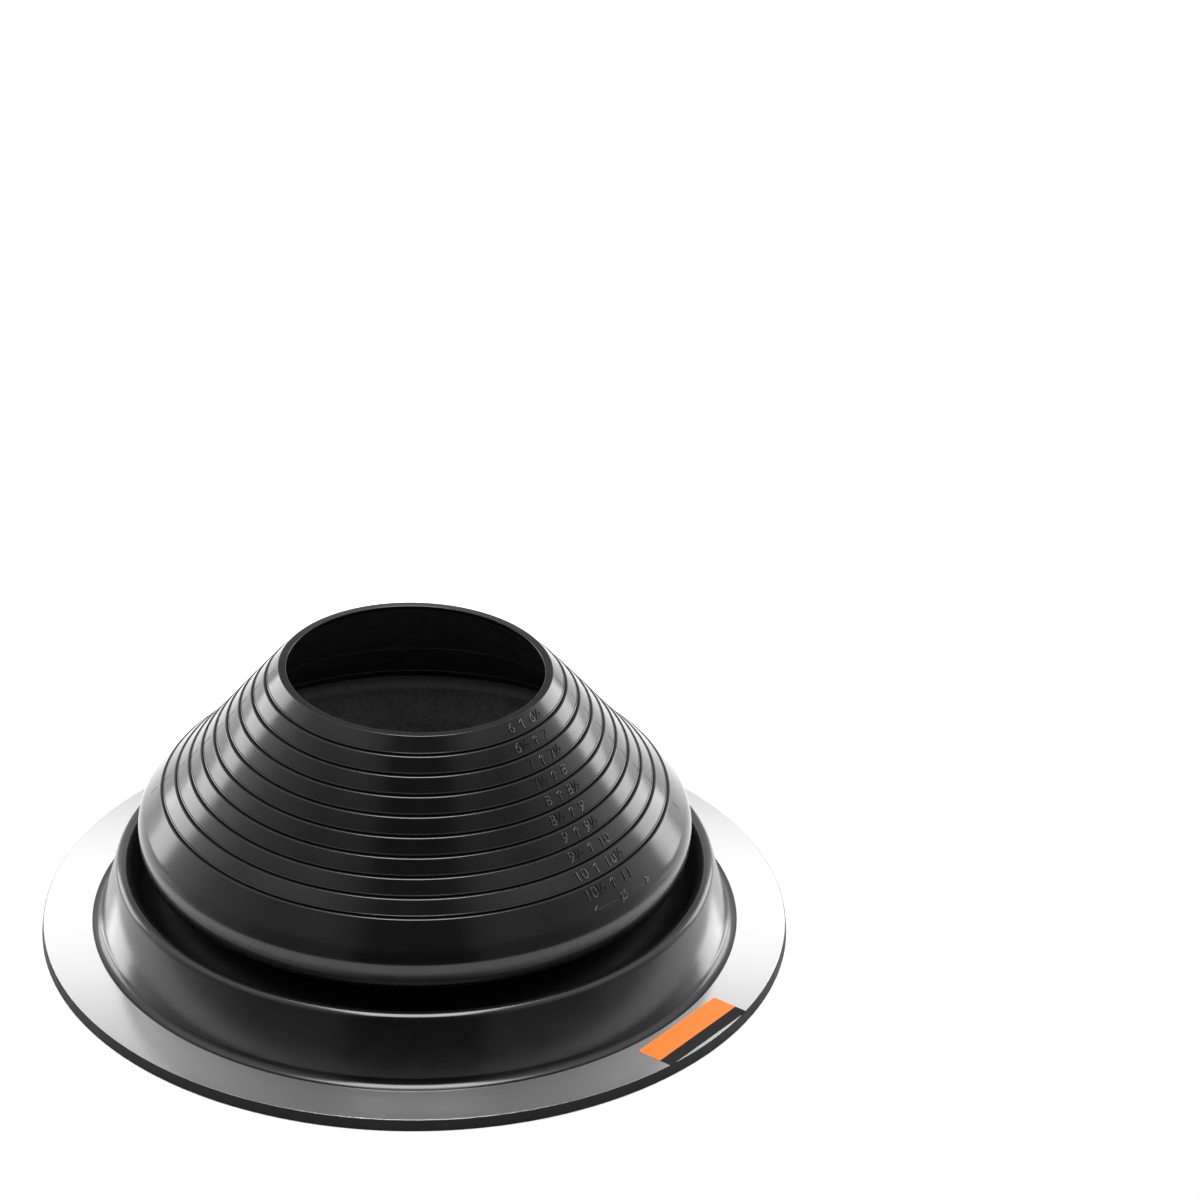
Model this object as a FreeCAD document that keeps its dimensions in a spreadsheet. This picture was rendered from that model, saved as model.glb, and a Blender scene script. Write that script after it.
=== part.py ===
import FreeCAD, Part
import Sketcher
import math
import os
import re

# Pipe flashing boot: a moulded rubber boot that seals a round pipe where it comes through a roof.
# Millimetres, +Z up along the pipe's axis, origin at the middle of the flange's underside.
# The boot is a body of revolution: flange, leaning wall, inward fold, undercut dome, stepped cone.

# Driving sizes: name, value, what it sets. Every radius grows outward from the mouth, and every
# height grows upward from the floor of the fold, so a change of one size carries the rest along.
SIZES = [
    ("mouth_radius", 62.3, "bore of the mouth, which grips the smallest pipe"),
    ("lip_width", 3.8, "flat top of the lip, across"),
    ("lip_land", 2.0, "straight sealing land inside the mouth, height"),
    ("lip_step", 0.75, "step from the land out to the cone's inner face"),
    ("cut_count", 9, "number of cut lines round the cone"),
    ("cut_growth", 6.35, "growth in radius per cut line, half of a half-inch pipe size"),
    ("cut_drop", 7.25, "drop in height per cut line"),
    ("cone_sag", 1.25, "how far the cone's line sags inward, two thirds of the way down"),
    ("ledge_width", 1.3, "flat ledge at a cut line, across"),
    ("riser_height", 0.7, "small upright face above a ledge"),
    ("wall_thickness", 2.9, "rubber wall of fold, dome and cone"),
    ("bulge_reach", 11.95, "from the last cut line out to the widest ring of the dome"),
    ("bulge_drop", 19.4, "from the last cut line down to the widest ring of the dome"),
    ("bulge_upper_hollow", 11.1, "inner rounding above the widest ring"),
    ("bulge_lower_hollow", 3.5, "inner rounding below the widest ring"),
    ("undercut_hollow", 55.1, "slow inner curve of the undercut, down to the fold"),
    ("bulge_rise", 40.0, "from the floor of the fold up to the widest ring"),
    ("valley_height", 18.3, "floor of the fold above the underside of the flange"),
    ("valley_rounding", 10.0, "rounding of the fold's floor"),
    ("valley_inset", 9.4, "from the widest ring in to the middle of the fold's floor"),
    ("crest_rise", 20.4, "from the floor of the fold up to the top of the outer wall"),
    ("crest_reach", 7.8, "from the widest ring out to the middle of the crest"),
    ("crest_hollow", 1.1, "inner rounding under the crest"),
    ("wall_splay", 15.75, "from the middle of the crest out to the foot of the wall"),
    ("foot_fillet", 5.0, "fillet at the foot of the outer wall"),
    ("flange_thickness", 5.0, "rubber under the metal ring"),
    ("flange_draft", 0.6, "how much wider the flange is at its underside"),
    ("groove_count", 3, "sealant grooves in the underside of the flange"),
    ("groove_margin", 7.0, "from the flange's edge in to the first groove"),
    ("groove_pitch", 7.0, "from groove to groove"),
    ("groove_width", 3.0, "sealant groove, across"),
    ("groove_depth", 1.0, "sealant groove, depth"),
    ("ring_gap", 0.15, "gap between the wall's foot and the metal ring"),
    ("ring_width", 24.1, "metal ring, from its hole to its rim"),
    ("ring_thickness", 0.8, "metal ring, sheet thickness"),
    ("label_length", 60.0, "label, along the rim"),
    ("label_margin", 2.75, "bare metal between the label and the hole of the ring"),
    ("label_edge_gap", 0.05, "from the label's outer corners to the rim of the ring"),
    ("label_thickness", 0.2, "label film"),
    ("label_angle", 50.4, "label's place round the rim, in degrees from the front to the right"),
]

# Places that follow from the sizes, as formulas in the same names.
BULGE_HEIGHT = "(valley_height + bulge_rise)"
LAST_CUT_RADIUS = "(mouth_radius + lip_width + cut_count * cut_growth)"
LAST_CUT_HEIGHT = f"({BULGE_HEIGHT} + bulge_drop)"
TOTAL_HEIGHT = f"({LAST_CUT_HEIGHT} + cut_count * cut_drop)"
BULGE_RADIUS = f"({LAST_CUT_RADIUS} + bulge_reach)"
VALLEY_RADIUS = f"({BULGE_RADIUS} - valley_inset)"
CREST_RADIUS = f"({BULGE_RADIUS} + crest_reach)"
CREST_ROUNDING = "(crest_hollow + wall_thickness)"
CREST_CENTRE_HEIGHT = f"(valley_height + crest_rise - {CREST_ROUNDING})"
VALLEY_CENTRE_HEIGHT = "(valley_height + valley_rounding)"
FOOT_RADIUS = f"({CREST_RADIUS} + wall_splay)"
RING_INNER_RADIUS = f"({FOOT_RADIUS} + ring_gap)"
RING_OUTER_RADIUS = f"({RING_INNER_RADIUS} + ring_width)"
RING_TOP = "(flange_thickness + ring_thickness)"
FLANGE_RADIUS = f"({RING_OUTER_RADIUS} + flange_draft)"
CONE_SLANT = "hypot(cut_growth; cut_drop)"
LABEL_OUTER_EDGE = f"(sqrt(pow({RING_OUTER_RADIUS} - label_edge_gap; 2) - pow(label_length / 2; 2)))"
LABEL_INNER_EDGE = f"({RING_INNER_RADIUS} + label_margin)"

# The crease of the cone's inner face lies three quarters of the way down the cut lines.
CREASE_SHARE = 0.75


def bound(formula):
    """Write a formula's size names, which all have an underscore, as names in the sheet."""
    return re.sub(r"\b([a-z]+(?:_[a-z]+)+)\b", r"Sizes.\1", formula)


def make_sheet(doc):
    """Put the driving sizes into a spreadsheet, one row each, with the name as the cell's alias."""
    sheet = doc.addObject("Spreadsheet::Sheet", "Sizes")
    for row, (name, value, note) in enumerate(SIZES, start=1):
        sheet.set(f"A{row}", name)
        sheet.set(f"B{row}", str(value))
        sheet.set(f"C{row}", note)
        sheet.setAlias(f"B{row}", name)
    doc.recompute()
    return sheet


def cut_line(number, count):
    """Radius and height of a cut line's ledge, counted from 0 at the lip, as two formulas."""
    share = max(0, number - 1) / (count - 1)
    dip = f"(cone_sag * sin(180 * {share * share}) / {CONE_SLANT})"
    radius = f"(mouth_radius + lip_width + {number} * cut_growth - {dip} * cut_drop)"
    height = f"({TOTAL_HEIGHT} - {number} * cut_drop - {dip} * cut_growth)"
    return radius, height


def tangent_points(centre_a, radius_a, turn_a, centre_b, radius_b, turn_b):
    """Ends of the line that leaves one circle and meets another; turn is 1 for left, -1 for right."""
    run_x = centre_b[0] - centre_a[0]
    run_y = centre_b[1] - centre_a[1]
    lean = math.asin((turn_a * radius_a - turn_b * radius_b) / math.hypot(run_x, run_y))
    heading = math.atan2(run_y, run_x) + lean
    side = (math.sin(heading), -math.cos(heading))
    start = (centre_a[0] + turn_a * radius_a * side[0], centre_a[1] + turn_a * radius_a * side[1])
    end = (centre_b[0] + turn_b * radius_b * side[0], centre_b[1] + turn_b * radius_b * side[1])
    return start, end


def common_centre(centre_a, reach_a, centre_b, reach_b):
    """The point at the two given distances from two centres, on the left of the way from a to b."""
    run_x = centre_b[0] - centre_a[0]
    run_y = centre_b[1] - centre_a[1]
    run = math.hypot(run_x, run_y)
    along = (reach_a * reach_a - reach_b * reach_b + run * run) / (2 * run)
    aside = math.sqrt(reach_a * reach_a - along * along)
    return (
        centre_a[0] + (along * run_x - aside * run_y) / run,
        centre_a[1] + (along * run_y + aside * run_x) / run,
    )


def bearing(centre, point):
    """Angle from a centre to a point, in radians."""
    return math.atan2(point[1] - centre[1], point[0] - centre[0])


def beyond(centre_a, centre_b, radius):
    """The point on a circle round centre b that lies straight on from centre a."""
    angle = bearing(centre_a, centre_b)
    return centre_b[0] + radius * math.cos(angle), centre_b[1] + radius * math.sin(angle)


class Outline:
    """A closed run of lines and arcs in one sketch, whose dimensions are tied to the sheet."""

    def __init__(self, sketch, sheet):
        self.sketch = sketch
        self.sheet = sheet
        self.shapes = []
        self.rules = []
        self.formulas = {}

    def value(self, formula):
        """The present value of a formula."""
        return float(self.sheet.evalExpression(bound(formula)))

    def place(self, corner):
        """The present place of a corner that is given as two formulas."""
        return self.value(corner[0]), self.value(corner[1])

    def line(self, start, end):
        """Add a line, and return its number with its first and last point."""
        first = FreeCAD.Vector(start[0], start[1], 0)
        last = FreeCAD.Vector(end[0], end[1], 0)
        self.shapes.append(Part.LineSegment(first, last))
        return len(self.shapes) - 1, 1, 2

    def arc(self, centre, start, end, turn):
        """Add an arc that turns left (1) or right (-1), and return it as a line is returned."""
        middle = FreeCAD.Vector(centre[0], centre[1], 0)
        radius = math.hypot(start[0] - centre[0], start[1] - centre[1])
        circle = Part.Circle(middle, FreeCAD.Vector(0, 0, 1), radius)
        first = bearing(centre, start)
        last = bearing(centre, end)
        if turn < 0:
            first, last = last, first
        if last < first:
            last += 2 * math.pi
        self.shapes.append(Part.ArcOfCircle(circle, first, last))
        number = len(self.shapes) - 1
        return (number, 1, 2) if turn > 0 else (number, 2, 1)

    def rule(self, *parts):
        """Add a constraint without a dimension."""
        self.rules.append(Sketcher.Constraint(*parts))

    def dimension(self, formula, kind, *parts):
        """Add a constraint whose dimension follows a formula."""
        self.formulas[len(self.rules)] = formula
        self.rules.append(Sketcher.Constraint(kind, *parts, self.value(formula)))

    def fix(self, number, point, corner):
        """Hold a point of a line or arc at a corner given as two formulas."""
        self.dimension(corner[0], "DistanceX", number, point)
        if corner[1] == "0":
            self.rule("PointOnObject", number, point, -1)
        else:
            self.dimension(corner[1], "DistanceY", number, point)

    def join(self, before, after):
        """Let the second piece start where the first one ends."""
        self.rule("Coincident", before[0], before[2], after[0], after[1])

    def smooth(self, before, after):
        """Let the second piece start where the first one ends, in the same direction."""
        self.rule("Tangent", before[0], before[2], after[0], after[1])

    def centre(self, piece, corner):
        """Hold the centre of an arc at a corner given as two formulas."""
        self.fix(piece[0], 3, corner)

    def same_centre(self, piece, other):
        """Give two arcs one centre."""
        self.rule("Coincident", piece[0], 3, other[0], 3)

    def run(self, start, corners):
        """Add lines from a place through corners, and return the first and last line."""
        pieces = []
        for corner in corners:
            end = self.place(corner)
            piece = self.line(start, end)
            self.fix(piece[0], piece[2], corner)
            if pieces:
                self.join(pieces[-1], piece)
            pieces.append(piece)
            start = end
        return pieces[0], pieces[-1]

    def finish(self):
        """Write the geometry and the constraints into the sketch."""
        self.sketch.addGeometry(self.shapes, False)
        self.sketch.addConstraint(self.rules)
        for number, formula in self.formulas.items():
            self.sketch.setExpression(f"Constraints[{number}]", bound(formula))


def new_body(doc, label):
    """A body whose label names the finished piece."""
    body = doc.addObject("PartDesign::Body", "Body_" + label)
    body.Label = label
    return body


def new_sketch(body, name, role):
    """A sketch on one of the body's own origin planes."""
    sketch = body.newObject("Sketcher::SketchObject", name)
    plane = next(item for item in body.Origin.OriginFeatures if item.Role == role)
    sketch.AttachmentSupport = [(plane, "")]
    sketch.MapMode = "FlatFace"
    return sketch


def underside_corners(count):
    """The flange's underside from the wall outward, with its sealant grooves, then its edge."""
    corners = []
    for number in reversed(range(count)):
        middle = f"({FLANGE_RADIUS} - groove_margin - {number} * groove_pitch)"
        near = f"({middle} - groove_width / 2)"
        far = f"({middle} + groove_width / 2)"
        corners += [(near, "0"), (near, "groove_depth"), (far, "groove_depth"), (far, "0")]
    corners.append((FLANGE_RADIUS, "0"))
    corners.append((RING_OUTER_RADIUS, "flange_thickness"))
    corners.append((FOOT_RADIUS, "flange_thickness"))
    corners.append((FOOT_RADIUS, RING_TOP))
    return corners


def cone_corners(count):
    """The stepped cone from the last cut line up to the lip, then down inside to the crease."""
    corners = []
    for number in range(count, 0, -1):
        radius, height = cut_line(number, count)
        inner = f"({radius} - ledge_width / 2)"
        corners.append((f"({radius} + ledge_width / 2)", height))
        corners.append((inner, height))
        corners.append((inner, f"({height} + riser_height)"))
    land_foot = f"({TOTAL_HEIGHT} - lip_land)"
    corners.append(("(mouth_radius + lip_width)", TOTAL_HEIGHT))
    corners.append(("mouth_radius", TOTAL_HEIGHT))
    corners.append(("mouth_radius", land_foot))
    corners.append(("(mouth_radius + lip_step)", land_foot))
    radius, height = cut_line(round(CREASE_SHARE * count), count)
    inward = f"(wall_thickness / {CONE_SLANT})"
    crease_radius = f"({radius} - ledge_width / 2 - {inward} * cut_drop)"
    corners.append((crease_radius, f"({height} - {inward} * cut_growth)"))
    return corners


def draw_boot(outline, cuts, grooves):
    """Draw the whole section of the boot: its outer face from the flange to the lip, and back inside."""
    foot_centre = outline.place((FOOT_RADIUS, f"({RING_TOP} + foot_fillet)"))
    crest_centre = outline.place((CREST_RADIUS, CREST_CENTRE_HEIGHT))
    valley_centre = outline.place((VALLEY_RADIUS, VALLEY_CENTRE_HEIGHT))
    widest = outline.place((BULGE_RADIUS, BULGE_HEIGHT))
    wall = outline.value("wall_thickness")
    fillet = outline.value("foot_fillet")
    crest = outline.value(CREST_ROUNDING)
    valley = outline.value("valley_rounding")
    lower = outline.value("bulge_lower_hollow + wall_thickness")
    upper = outline.value("bulge_upper_hollow + wall_thickness")
    undercut = outline.value("undercut_hollow + wall_thickness")
    lower_centre = (widest[0] - lower, widest[1])
    upper_centre = (widest[0] - upper, widest[1])
    undercut_centre = common_centre(valley_centre, undercut + valley, lower_centre, undercut - lower)
    cone = cone_corners(cuts)
    crease = cone[-1]

    # Tangent points of the outer face.
    wall_foot, wall_top = tangent_points(foot_centre, fillet, -1, crest_centre, crest, 1)
    leg_top, leg_foot = tangent_points(crest_centre, crest, 1, valley_centre, valley, -1)
    undercut_foot = beyond(undercut_centre, valley_centre, -valley)
    undercut_top = beyond(undercut_centre, lower_centre, lower)
    shoulder, _ = tangent_points(upper_centre, upper, 1, outline.place(cone[0]), 0, 1)

    # Tangent points of the inner face, one wall thickness away.
    inner_widest = (widest[0] - wall, widest[1])
    _, inner_shoulder = tangent_points(outline.place(crease), 0, 1, upper_centre, upper - wall, -1)
    inner_undercut_top = beyond(undercut_centre, lower_centre, lower - wall)
    inner_undercut_foot = beyond(undercut_centre, valley_centre, -valley - wall)
    inner_leg_foot, inner_leg_top = tangent_points(
        valley_centre, valley + wall, 1, crest_centre, crest - wall, -1
    )
    lean = math.atan2(wall_foot[0] - wall_top[0], wall_top[1] - wall_foot[1])
    inner_wall_top = (
        crest_centre[0] + (crest - wall) * math.cos(lean),
        crest_centre[1] + (crest - wall) * math.sin(lean),
    )
    inner_wall_foot = (inner_wall_top[0] + inner_wall_top[1] * math.tan(lean), 0.0)

    # Flange, from the wall's inner face out along the underside and back over the edge.
    flange_first, flange_last = outline.run(inner_wall_foot, underside_corners(grooves))
    outline.rule("PointOnObject", flange_first[0], flange_first[1], -1)

    # Outer face: foot fillet, leaning wall, crest, inner leg, floor of the fold.
    toe = outline.place((FOOT_RADIUS, RING_TOP))
    foot_arc = outline.arc(foot_centre, toe, wall_foot, -1)
    outer_wall = outline.line(wall_foot, wall_top)
    crest_arc = outline.arc(crest_centre, wall_top, leg_top, 1)
    leg = outline.line(leg_top, leg_foot)
    valley_arc = outline.arc(valley_centre, leg_foot, undercut_foot, -1)
    undercut_arc = outline.arc(undercut_centre, undercut_foot, undercut_top, 1)
    lower_arc = outline.arc(lower_centre, undercut_top, widest, 1)
    upper_arc = outline.arc(upper_centre, widest, shoulder, 1)
    outline.join(flange_last, foot_arc)
    outline.rule("Vertical", foot_arc[0], 3, foot_arc[0], foot_arc[1])
    outline.dimension("foot_fillet", "Radius", foot_arc[0])
    outline.smooth(foot_arc, outer_wall)
    outline.smooth(outer_wall, crest_arc)
    outline.centre(crest_arc, (CREST_RADIUS, CREST_CENTRE_HEIGHT))
    outline.dimension(CREST_ROUNDING, "Radius", crest_arc[0])
    outline.smooth(crest_arc, leg)
    outline.smooth(leg, valley_arc)
    outline.centre(valley_arc, (VALLEY_RADIUS, VALLEY_CENTRE_HEIGHT))
    outline.dimension("valley_rounding", "Radius", valley_arc[0])
    outline.smooth(valley_arc, undercut_arc)
    outline.dimension("undercut_hollow + wall_thickness", "Radius", undercut_arc[0])
    outline.smooth(undercut_arc, lower_arc)
    outline.dimension("bulge_lower_hollow + wall_thickness", "Radius", lower_arc[0])
    outline.rule("Horizontal", lower_arc[0], 3, lower_arc[0], lower_arc[2])
    outline.fix(lower_arc[0], lower_arc[2], (BULGE_RADIUS, BULGE_HEIGHT))
    outline.join(lower_arc, upper_arc)
    outline.dimension("bulge_upper_hollow + wall_thickness", "Radius", upper_arc[0])
    outline.rule("Horizontal", upper_arc[0], 3, upper_arc[0], upper_arc[1])

    # Stepped cone, lip and the upper part of the inner face.
    cone_first, cone_last = outline.run(shoulder, cone)
    outline.smooth(upper_arc, cone_first)

    # Inner face below the crease, concentric with the outer face.
    inner_cone = outline.line(outline.place(crease), inner_shoulder)
    inner_upper = outline.arc(upper_centre, inner_shoulder, inner_widest, -1)
    inner_lower = outline.arc(lower_centre, inner_widest, inner_undercut_top, -1)
    inner_undercut = outline.arc(undercut_centre, inner_undercut_top, inner_undercut_foot, -1)
    fold_arc = outline.arc(valley_centre, inner_undercut_foot, inner_leg_foot, 1)
    inner_leg = outline.line(inner_leg_foot, inner_leg_top)
    inner_crest = outline.arc(crest_centre, inner_leg_top, inner_wall_top, -1)
    inner_wall = outline.line(inner_wall_top, inner_wall_foot)
    outline.join(cone_last, inner_cone)
    outline.smooth(inner_cone, inner_upper)
    outline.same_centre(inner_upper, upper_arc)
    outline.join(inner_upper, inner_lower)
    outline.same_centre(inner_lower, lower_arc)
    outline.dimension("bulge_lower_hollow", "Radius", inner_lower[0])
    outline.rule("Horizontal", inner_lower[0], 3, inner_lower[0], inner_lower[1])
    outline.smooth(inner_lower, inner_undercut)
    outline.same_centre(inner_undercut, undercut_arc)
    outline.smooth(inner_undercut, fold_arc)
    outline.same_centre(fold_arc, valley_arc)
    outline.smooth(fold_arc, inner_leg)
    outline.smooth(inner_leg, inner_crest)
    outline.same_centre(inner_crest, crest_arc)
    outline.dimension("crest_hollow", "Radius", inner_crest[0])
    outline.smooth(inner_crest, inner_wall)
    outline.rule("Parallel", inner_wall[0], outer_wall[0])
    outline.join(inner_wall, flange_first)


def make_boot(doc, sheet):
    """The rubber boot: its section turned once round the pipe's axis."""
    body = new_body(doc, "rubber_boot")
    sketch = new_sketch(body, "BootSection", "XZ_Plane")
    outline = Outline(sketch, sheet)
    draw_boot(outline, int(outline.value("cut_count * 1")), int(outline.value("groove_count * 1")))
    outline.finish()
    turn = body.newObject("PartDesign::Revolution", "BootTurn")
    turn.Profile = sketch
    turn.ReferenceAxis = (sketch, ["V_Axis"])
    turn.Angle = 360.0
    sketch.Visibility = False
    return body


def make_ring(doc, sheet):
    """The flat metal ring, which lies on the flange round the foot of the wall."""
    body = new_body(doc, "aluminium_ring")
    sketch = new_sketch(body, "RingOutline", "XY_Plane")
    sketch.setExpression("AttachmentOffset.Base.z", bound("flange_thickness"))
    up = FreeCAD.Vector(0, 0, 1)
    for number, formula in enumerate((RING_INNER_RADIUS, RING_OUTER_RADIUS)):
        radius = float(sheet.evalExpression(bound(formula)))
        sketch.addGeometry(Part.Circle(FreeCAD.Vector(0, 0, 0), up, radius), False)
        sketch.addConstraint(Sketcher.Constraint("Coincident", number, 3, -1, 1))
        rule = sketch.addConstraint(Sketcher.Constraint("Radius", number, radius))
        sketch.setExpression(f"Constraints[{rule}]", bound(formula))
    pad = body.newObject("PartDesign::Pad", "RingSheet")
    pad.Profile = sketch
    pad.setExpression("Length", bound("ring_thickness"))
    sketch.Visibility = False
    return body


def make_label(doc, sheet):
    """The label: a thin rectangle whose outer corners reach the rim of the ring."""
    body = new_body(doc, "label")
    sketch = new_sketch(body, "LabelOutline", "XY_Plane")
    sketch.setExpression("AttachmentOffset.Base.z", bound(RING_TOP))
    outline = Outline(sketch, sheet)
    half = outline.value("label_length / 2")
    near = outline.value(LABEL_INNER_EDGE)
    far = outline.value(LABEL_OUTER_EDGE)
    places = [(-half, -far), (half, -far), (half, -near), (-half, -near)]
    sides = [outline.line(places[side - 1], places[side]) for side in range(len(places))]
    for before, after in zip(sides, sides[1:] + sides[:1]):
        outline.join(before, after)
    left, outer, right, inner = sides
    outline.rule("Horizontal", inner[0])
    outline.rule("Vertical", left[0])
    outline.rule("Vertical", right[0])
    outline.rule("Symmetric", outer[0], 1, outer[0], 2, -2)
    outline.dimension("label_length * 1", "Distance", outer[0])
    outline.dimension(LABEL_OUTER_EDGE, "DistanceY", outer[0], 1, -1, 1)
    outline.dimension(LABEL_INNER_EDGE, "DistanceY", inner[0], 1, -1, 1)
    outline.finish()
    pad = body.newObject("PartDesign::Pad", "LabelFilm")
    pad.Profile = sketch
    pad.setExpression("Length", bound("label_thickness"))
    sketch.Visibility = False
    body.Placement = FreeCAD.Placement(FreeCAD.Vector(), FreeCAD.Vector(0, 0, 1), 0)
    body.setExpression("Placement.Rotation.Angle", bound("label_angle"))
    return body


def check(doc, pieces):
    """Stop if any object failed, or if a piece is not one sound solid."""
    for item in doc.Objects:
        if {"Invalid", "Error"} & set(item.State):
            raise RuntimeError(f"{item.Name} failed: {item.State}")
    for piece in pieces:
        shape = piece.Shape
        if shape.isNull() or not shape.isValid() or len(shape.Solids) != 1:
            raise RuntimeError(f"{piece.Label} is not one sound solid")


def export(pieces):
    """Write each piece to a STEP file of its own and print what it measures."""
    os.makedirs("parts", exist_ok=True)
    for piece in pieces:
        piece.Shape.exportStep(f"parts/{piece.Label}.step")
        box = piece.Shape.BoundBox
        print(
            f"{piece.Label}: {piece.Shape.Volume / 1000:.1f} cm3, x {box.XMin:.2f} to {box.XMax:.2f}, "
            f"z {box.ZMin:.2f} to {box.ZMax:.2f}"
        )


def main():
    """Build the document, check it and write the pieces."""
    doc = FreeCAD.newDocument("PipeFlashingBoot")
    sheet = make_sheet(doc)
    pieces = [make_boot(doc, sheet), make_ring(doc, sheet), make_label(doc, sheet)]
    doc.recompute()
    check(doc, pieces)
    export(pieces)


main()
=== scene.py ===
"""Finished look of the pipe flashing boot: black rubber cone, metal ring and blank label."""

from __future__ import annotations

import logging
import math
from dataclasses import dataclass, field, replace
from enum import Enum

import bmesh
import bpy
from mathutils import Matrix, Vector
from mathutils.kdtree import KDTree


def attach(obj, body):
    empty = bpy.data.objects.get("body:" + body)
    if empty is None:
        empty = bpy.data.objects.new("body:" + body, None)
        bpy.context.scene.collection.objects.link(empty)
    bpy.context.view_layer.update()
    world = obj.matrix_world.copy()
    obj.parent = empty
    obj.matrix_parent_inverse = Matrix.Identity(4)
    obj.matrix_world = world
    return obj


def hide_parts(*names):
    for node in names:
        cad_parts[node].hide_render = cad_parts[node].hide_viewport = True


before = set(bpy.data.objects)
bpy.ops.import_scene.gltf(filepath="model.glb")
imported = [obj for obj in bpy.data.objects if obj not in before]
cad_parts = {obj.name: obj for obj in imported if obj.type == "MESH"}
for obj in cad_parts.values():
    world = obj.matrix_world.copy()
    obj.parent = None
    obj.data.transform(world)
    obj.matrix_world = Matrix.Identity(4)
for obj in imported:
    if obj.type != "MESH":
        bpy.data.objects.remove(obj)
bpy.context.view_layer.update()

logging.basicConfig(level=logging.INFO, format="%(name)s: %(message)s")
LOG = logging.getLogger("boot")

Point = tuple[float, float]
Triple = tuple[float, float, float]

MM = 0.001
# Steps in the full turn of a round piece.
TURN_STEPS = 208
# Height of the metal's seat on the flange and of its upper face, in millimetres.
SEAT_HEIGHT = 5.0
METAL_TOP = 5.8
# Points of a turned mesh that are nearer than this are one, in metres.
MERGE = 1e-6
# How strongly large faces draw the smoothed normals.
FLAT_WEIGHT = 80
# A light's face is as bright as its energy through this many times its area.
AREA_LIGHT_FACTOR = 4.0
# The point that the lights face, in metres.
AIM = Vector((0.0, 0.0, 0.06))


class Slot(str, Enum):
    """Material slots of the record."""

    RUBBER = "rubber"
    ALUMINIUM = "aluminium"
    LABEL = "label"


class Turn(int, Enum):
    """The way an arc of a section turns."""

    LEFT = 1
    RIGHT = -1


class Skin(int, Enum):
    """Which finish of the rubber a run of the section has, as the number of its material."""

    GLOSSY = 0
    # Painted shade: the darker copy of the rubber inside the boot.
    INSIDE = 1
    # Painted glow: the lighter colour of the lower inside faces.
    DUSTY = 2
    DULL = 3


# Sections


@dataclass(frozen=True)
class Bend:
    """An arc of a section, in millimetres.

    Attributes:
        centre: Centre of the arc.
        end: Where it ends.
        turn: Which way it turns.
        start: Where the straight run before it ends, if there is one.
    """

    centre: Point
    end: Point
    turn: Turn
    start: Point | None = None


@dataclass
class Section:
    """A closed run of radius and height points, in millimetres.

    Attributes:
        points: The points made so far.
        step: Longest turn between two points of an arc, in radians.
        skins: Number of points at which each skin starts, and the skin.
    """

    points: list[Point] = field(default_factory=list)
    step: float = math.radians(7.0)
    skins: list[tuple[int, Skin]] = field(default_factory=lambda: [(0, Skin.GLOSSY)])

    def skin(self, kind: Skin) -> Section:
        """Give the rest of the section another skin.

        Args:
            kind: The skin.

        Returns:
            The section itself.
        """
        self.skins.append((len(self.points), kind))
        return self

    def go(self, *corners: Point) -> Section:
        """Add sharp corners.

        Args:
            corners: Radius and height of each corner.

        Returns:
            The section itself.
        """
        self.points.extend(corners)
        return self

    def round(self, corner: Point, after: Point, radius: float) -> Section:
        """Add a rounded corner between the last point and the next one.

        Args:
            corner: The sharp corner that is rounded off.
            after: The point that the run makes for after it.
            radius: Radius of the rounding.

        Returns:
            The section itself.
        """
        here = Vector(corner)
        back = (Vector(self.points[-1]) - here).normalized()
        ahead = (Vector(after) - here).normalized()
        half = back.angle(ahead) / 2
        reach = radius / math.tan(half)
        centre = here + (back + ahead).normalized() * (radius / math.sin(half))
        start = here + back * reach
        end = here + ahead * reach
        turn = Turn.LEFT if back.cross(ahead) < 0 else Turn.RIGHT
        self.points.append(tuple(start))
        return self.arc(tuple(centre), tuple(end), turn)

    def arc(self, centre: Point, end: Point, turn: Turn) -> Section:
        """Add an arc from the last point.

        Args:
            centre: Centre of the arc.
            end: Where the arc ends.
            turn: Which way it turns.

        Returns:
            The section itself.
        """
        last = self.points[-1]
        first = math.atan2(last[1] - centre[1], last[0] - centre[0])
        final = math.atan2(end[1] - centre[1], end[0] - centre[0])
        sweep = (final - first) % math.tau
        if turn is Turn.RIGHT:
            sweep -= math.tau
        radius = math.dist(centre, end)
        count = max(2, math.ceil(abs(sweep) / self.step))
        for number in range(1, count + 1):
            angle = first + sweep * number / count
            across, up = radius * math.cos(angle), radius * math.sin(angle)
            self.points.append((centre[0] + across, centre[1] + up))
        return self

    def bend(self, bend: Bend, skin: Skin | None = None) -> Section:
        """Add the straight run up to a bend, if it has one, and the bend.

        Args:
            bend: The bend.
            skin: Skin that starts where the arc starts, if it changes there.

        Returns:
            The section itself.
        """
        if bend.start is not None:
            self.go(bend.start)
        if skin is not None:
            self.skin(skin)
        return self.arc(bend.centre, bend.end, bend.turn)

    def bow(self, end: Point, radius: float, turn: Turn) -> Section:
        """Add a shallow arc that is known by its radius.

        Args:
            end: Where the arc ends.
            radius: Its radius.
            turn: Which way it turns.

        Returns:
            The section itself.
        """
        start = Vector(self.points[-1])
        chord = Vector(end) - start
        rise = math.sqrt(radius * radius - chord.length_squared / 4)
        side = Vector((-chord.y, chord.x)).normalized() * rise * turn
        centre = start + chord / 2 + side
        return self.arc(tuple(centre), end, turn)


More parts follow.
